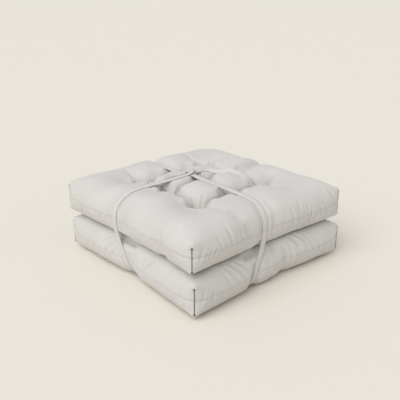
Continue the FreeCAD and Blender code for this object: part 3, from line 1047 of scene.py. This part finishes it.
RIM_STITCH = 0.0042  # length; the gap follows it
RIM_GAP = 0.0016
RIM_MARGIN = 0.006
RIM_RADIUS = 0.00045
RIM_LIFT = 0.0003  # off the canvas
SEAM_STITCH = 0.0050
SEAM_GAP = 0.0012
SEAM_RADIUS = 0.00105
SEAM_LIFT = 0.0005
SEAM_ENDS = (-0.034, 0.033)  # corner stitching below and above the perimeter seam
BARTACK_RADIUS = 0.00095
BARTACK_LIFT = 0.0006
BARTACK_HALF = 0.0016
BARTACK_ROWS = (-0.0012, 0.0, 0.0012)
TUFT_LIFT = 0.0006
TUFT_ARM = 0.0042  # half a stitch
TUFT_RADIUS = 0.0010
TUFT_TURN = 0.6  # radians


def along_line(places, normals, pitch, margin=0.0):
    """Places and normals at an even pitch along a line of points."""
    travel = travelled(places)
    marks = np.arange(margin, travel[-1] - margin, pitch)
    return [np.column_stack([np.interp(marks, travel, column) for column in values.T])
            for values in (places, normals)]


def add_perimeter_stitches(pad, rest):
    """Running stitches round the middle of a pad's sides."""
    mesh = bmesh.new()
    on_seam = np.abs(rest[:, 2]) < TOUCH
    for axis in (0, 1):
        for side in (-1, 1):
            chosen = on_seam & (np.abs(rest[:, 1 - axis] - side * HALF_SIDE) < TOUCH)
            places, normals = at_rest_places(pad, chosen, rest[:, axis])
            pitch = RIM_STITCH + RIM_GAP
            marks, facing = along_line(places, normals, pitch, RIM_MARGIN)
            for start, end, near, far in zip(marks, marks[1:], facing, facing[1:]):
                stop = start + (end - start) * (RIM_STITCH / pitch)
                capsule(mesh, start + near * RIM_LIFT, stop + far * RIM_LIFT, RIM_RADIUS,
                        sides=5)
    sewn_piece(pad + "_pad_perimeter_stitches", mesh, CANVAS_THREAD, pad + "_pad", "seam_thread",
               pad + "_pad_seam_allowance")


def add_corner_seams(pad, rest):
    """Dark stitches up each corner, with a bartack at both ends."""
    low, high = SEAM_ENDS
    for corner, (side_x, side_y) in CORNERS.items():
        chosen = at_corner(rest, side_x, side_y) & (rest[:, 2] > low) & (rest[:, 2] < high)
        places, _ = at_rest_places(pad, chosen, rest[:, 2])
        out = np.array([side_x, side_y, 0.0]) / math.sqrt(2)
        beside = np.array([-out[1], out[0], 0.0])
        marks, _ = along_line(places, places, SEAM_STITCH + SEAM_GAP)
        mesh = bmesh.new()
        for start, end in zip(marks, marks[1:]):
            stop = start + (end - start) * (SEAM_STITCH / (SEAM_STITCH + SEAM_GAP))
            capsule(mesh, start + out * SEAM_LIFT, stop + out * SEAM_LIFT, SEAM_RADIUS)
        for end in (marks[0], marks[-1]):
            for row in BARTACK_ROWS:
                capsule(mesh, end + out * BARTACK_LIFT - beside * BARTACK_HALF + (0, 0, row),
                        end + out * BARTACK_LIFT + beside * BARTACK_HALF + (0, 0, row), BARTACK_RADIUS)
        sewn_piece("%s_pad_corner_stitches_%s" % (pad, corner), mesh, SEAM_THREAD, pad + "_pad",
                   "seam_thread", "%s_pad_corner_seam_%s" % (pad, corner))


def add_tuft_stitches(pad, rest):
    """Crossed twine at both ends of every tuft, on the floor of its pit."""
    for name, (x, y) in zip(TUFT_NAMES, TUFTS):
        mesh = bmesh.new()
        for face in (-1, 1):
            reach = np.where(on_face(rest, face), np.hypot(rest[:, 0] - x, rest[:, 1] - y), FAR)
            place = stack[pad][reach.argmin()] + (0, 0, face * TUFT_LIFT)
            for turn in (TUFT_TURN, TUFT_TURN + math.pi / 2):
                arm = np.array([math.cos(turn), math.sin(turn), 0]) * TUFT_ARM
                capsule(mesh, place - arm, place + arm, TUFT_RADIUS)
        sewn_piece("%s_pad_tuft_stitches_%s" % (pad, name), mesh, TWINE, pad + "_pad", "twine",
                   "%s_pad_tuft_twine_%s" % (pad, name))


for pad in PADS:
    sewn_as = read_rest(canvases[pad].data)
    add_perimeter_stitches(pad, sewn_as)
    add_corner_seams(pad, sewn_as)
    add_tuft_stitches(pad, sewn_as)

# ---- the tie ----

for name, (across, along, loop) in LOOPS.items():
    centres = np.zeros((len(loop), 3))
    centres[:, along] = loop[:, 0]
    centres[:, 2] = loop[:, 1]
    lateral = wander(name, loop[:, 0], loop[:, 1])[:, None]
    centres[:, across] = rounded(lateral, 8)[:, 0]
    normals = np.zeros_like(centres)
    normals[:, [along, 2]] = outward(loop)
    band = ribbon("tie_loop_" + name, centres, normals, TIE_WIDTH, TIE_THICKNESS, closed=True)
    band.data.materials.append(TIE_CLOTH)
    sides = ("front", "back") if name == "front_back" else ("left", "right")
    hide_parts("tie_under_run_" + name, *["tie_side_leg_" + side for side in sides],
                *["tie_top_run_" + side for side in sides])
    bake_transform(band)

CROSSING_SPREAD = 0.006


def top_of_loop(loop, line):
    """Height of a loop's top run at a place along it."""
    here = (loop[:, 1] > HUB_Z) & (np.abs(loop[:, 0] - line) < CROSSING_SPREAD)
    return float(loop[:, 1][here].max())


# Where the loops cross on top: the height of the higher one.
CROSSING = max(top_of_loop(loop, line) for (_, _, loop), line in zip(LOOPS.values(), (LOOP_Y, LOOP_X)))
KNOT_SINK = 0.001
KNOT_PLACE = np.array([float(wander("front_back", LOOP_Y, CROSSING)),
                       float(wander("left_right", LOOP_X, CROSSING)), CROSSING - KNOT_SINK])
KNOT_HALF_LENGTH = 0.0122  # of the knot's centre line
KNOT_HALF_WIDTH = 0.0092
KNOT_RISE = 0.0038  # of its strands over and under its middle
KNOT_LIFT = 0.0066  # of its middle above the loops
KNOT_UPRIGHT = 0.012  # the smaller, the more its strands face outwards
KNOT_HEADING = math.radians(-35)
KNOT_STRAND = (0.0088, 0.0044)  # width and thickness of the gathered cloth

# The tails: places on the top face, and turns about their own line in radians, from the knot outwards.
TAILS = {
    "right": ((-0.010, 0.040), (0.040, 0.030), (0.065, -0.025), (0.095, -0.100)),
    "left": ((-0.020, 0.045), (-0.080, 0.050), (-0.140, 0.045)),
}
TAIL_TWIST = {"right": (0.3, 0.9, 0.6, 0.2), "left": (-0.3, -0.9, -0.4)}
TAIL_POINTS = 90
TAIL_GAP = 0.0022  # from the canvas up to a tail's centre line
TAIL_ON_EDGE = 0.38  # rise, as a share of its width
EDGE_SHARE = 5  # one fifth of the tail
GATHERED = 0.5  # share of its width at the knot
SPREAD = 0.42  # added to it
SPREAD_SHARE = 4  # over one quarter of the tail
BRIDGING = 60  # passes that stretch a tail over the pits
SOFTENING = 20  # passes that round its bends


def tail_course(route, twist):
    """A tail's centre line: on the top face, over the pits, and higher where it stands on its edge."""
    course = spline([(x, y, 0.0) for x, y in route], TAIL_POINTS)
    ground = np.array([top_height(x, y) for x, y in course[:, :2]])
    start = KNOT_PLACE[2] + KNOT_LIFT
    height = ground.copy()
    for _ in range(BRIDGING):
        height = np.maximum(np.concatenate([[start], (height[:-2] + height[2:]) / 2, [height[-1]]]), ground)
    for _ in range(SOFTENING):
        height[1:-1] = (height[:-2] + 2 * height[1:-1] + height[2:]) / 4
    set_in = smooth_step(np.linspace(0, EDGE_SHARE, TAIL_POINTS))
    on_edge = TAIL_ON_EDGE * TIE_WIDTH * np.abs(np.sin(twist)) * set_in
    course[:, 2] = np.maximum(height, ground) + TAIL_GAP + on_edge
    return course


def overhand_knot():
    """The tie's overhand knot drawn tight: a trefoil, longer than it is wide."""
    turns = np.linspace(0, math.tau, 120, endpoint=False)
    ahead = np.array([math.cos(KNOT_HEADING), math.sin(KNOT_HEADING), 0.0])
    beside = np.array([-ahead[1], ahead[0], 0.0])
    upright = np.array([0.0, 0.0, 1.0])
    along = (np.sin(turns) + 2 * np.sin(2 * turns)) / 3 * KNOT_HALF_LENGTH
    across = (np.cos(turns) - 2 * np.cos(2 * turns)) / 3 * KNOT_HALF_WIDTH
    offset = along[:, None] * ahead + across[:, None] * beside
    rise = (KNOT_LIFT - np.sin(3 * turns) * KNOT_RISE)[:, None] * upright
    return ribbon("tie_knot_turns", KNOT_PLACE + offset + rise, offset + KNOT_UPRIGHT * upright,
                  *KNOT_STRAND, closed=True)


knot = overhand_knot()
knot.data.materials.append(TIE_CLOTH)
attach(knot, "upper_pad")
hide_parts("tie_knot")

for side, route in TAILS.items():
    twist = spline([(value, 0, 0) for value in TAIL_TWIST[side]], TAIL_POINTS)[:, 0]
    course = tail_course(route, twist)
    gathered = GATHERED + SPREAD * smooth_step(np.linspace(0, SPREAD_SHARE, TAIL_POINTS))
    tail = ribbon("tie_loose_end_" + side, course, np.tile((0.0, 0.0, 1.0), (TAIL_POINTS, 1)),
                  TIE_WIDTH * gathered, TIE_THICKNESS, twist=twist)
    tail.data.materials.append(TIE_CLOTH)
    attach(tail, "upper_pad")
    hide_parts("tie_tail_" + side)
